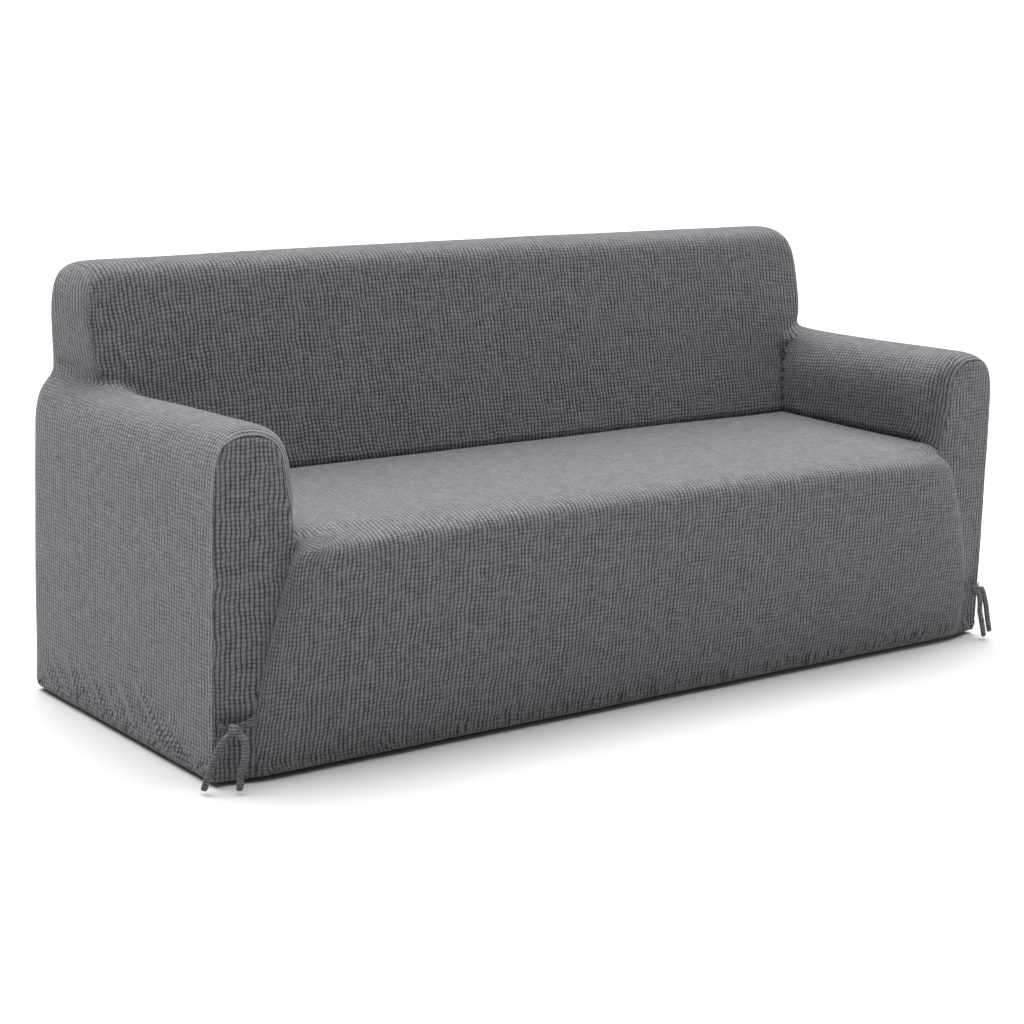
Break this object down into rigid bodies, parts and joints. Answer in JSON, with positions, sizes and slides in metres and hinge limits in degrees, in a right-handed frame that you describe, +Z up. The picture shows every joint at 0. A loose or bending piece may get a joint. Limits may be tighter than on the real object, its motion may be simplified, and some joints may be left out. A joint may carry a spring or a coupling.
{
  "type": "sofa slipcover",
  "caption": "Fitted stretch cover for a three-seat sofa with rolled arms, shaped as if pulled over it, with an elasticated hem and a knotted tie at the foot of each arm front.",
  "frame": {"origin": "on the floor, under the centre of the cover's outline", "axes": "+X along the sofa towards the right arm as seen from the front, -Y towards the front of the seat, +Z up"},
  "size_m": [2.1322, 0.8265, 0.9192],
  "materials": {
    "stretch_fabric": "matt stretch knit with a small raised grid, warm mid grey",
    "tie_fabric": "the same cloth sewn into narrow tubes, darker grey"
  },
  "bodies": {
    "root": {"seat_and_front": "stretch_fabric", "inside_back": "stretch_fabric", "outside_back": "stretch_fabric", "side_left": "stretch_fabric", "side_right": "stretch_fabric", "arm_front_left": "stretch_fabric", "arm_front_right": "stretch_fabric", "tie_left_outer_band": "tie_fabric", "tie_left_inner_band": "tie_fabric", "tie_left_knot": "tie_fabric", "tie_left_outer_tail": "tie_fabric", "tie_left_inner_tail": "tie_fabric", "tie_right_outer_band": "tie_fabric", "tie_right_inner_band": "tie_fabric", "tie_right_knot": "tie_fabric", "tie_right_outer_tail": "tie_fabric", "tie_right_inner_tail": "tie_fabric"}
  },
  "joints": []
}
